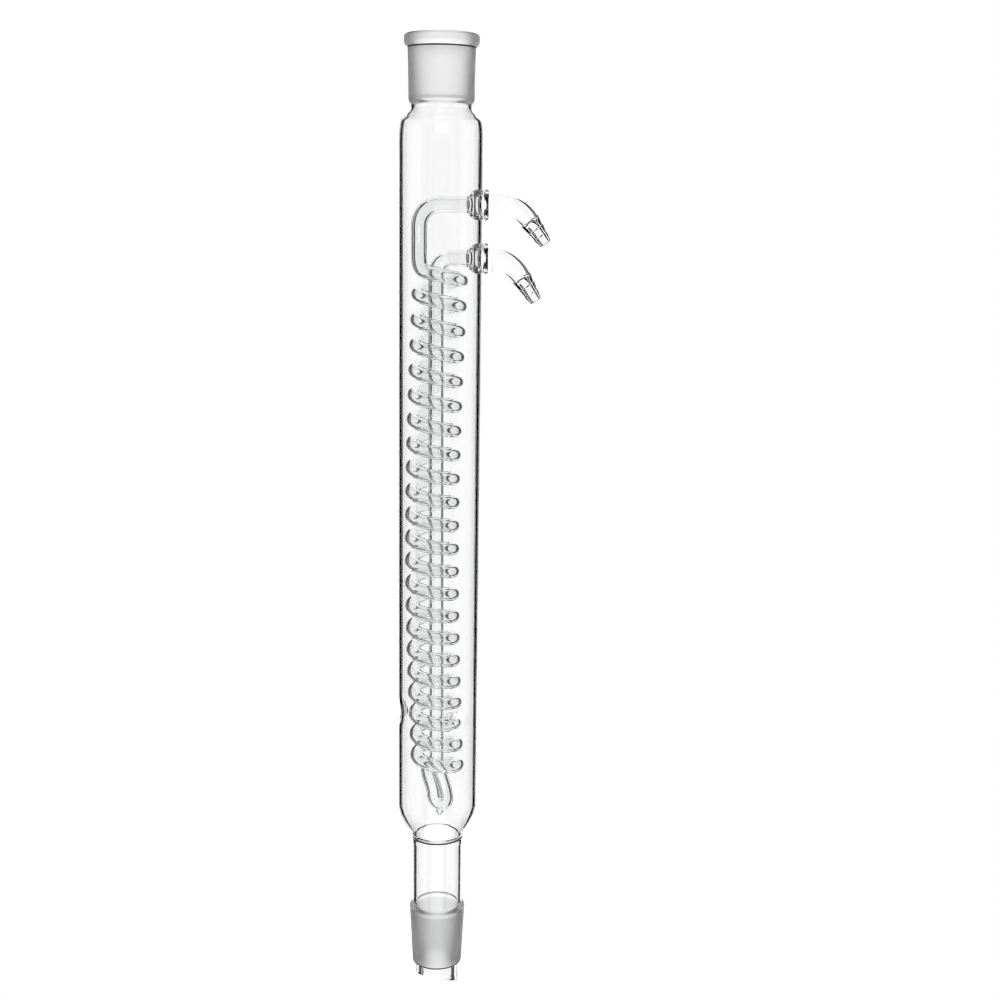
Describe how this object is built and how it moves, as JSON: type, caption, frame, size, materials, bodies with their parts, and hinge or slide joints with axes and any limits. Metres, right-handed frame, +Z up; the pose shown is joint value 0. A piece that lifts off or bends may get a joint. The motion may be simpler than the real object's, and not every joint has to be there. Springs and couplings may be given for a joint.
{
  "type": "coil reflux condenser",
  "caption": "Upright glass reflux condenser: a wide jacket tube holds an inner water coil with a central return tube, between a top ground socket and a bottom ground cone with a drip tip.",
  "frame": {"origin": "centre of the large end (gauge plane) of the lower ground cone, on the condenser's axis", "axes": "+Z runs up the condenser's axis to the socket, +X points to the side on which both hose barbs leave"},
  "size_m": [0.0759, 0.042, 0.5036],
  "materials": {
    "clear_glass": "clear fire-polished borosilicate glass",
    "frosted_glass": "ground joint, fine matt frosting"
  },
  "bodies": {
    "root": {"upper_socket": "frosted_glass", "jacket_tube": "clear_glass", "lower_stem": "clear_glass", "lower_cone": "frosted_glass", "cooling_coil": "clear_glass", "coil_riser": "clear_glass", "return_tube": "clear_glass", "bottom_bend": "clear_glass", "drip_point": "clear_glass", "upper_ring_seal": "clear_glass", "lower_ring_seal": "clear_glass", "upper_side_arm": "clear_glass", "lower_side_arm": "clear_glass", "upper_hose_barb": "clear_glass", "lower_hose_barb": "clear_glass"}
  },
  "joints": []
}
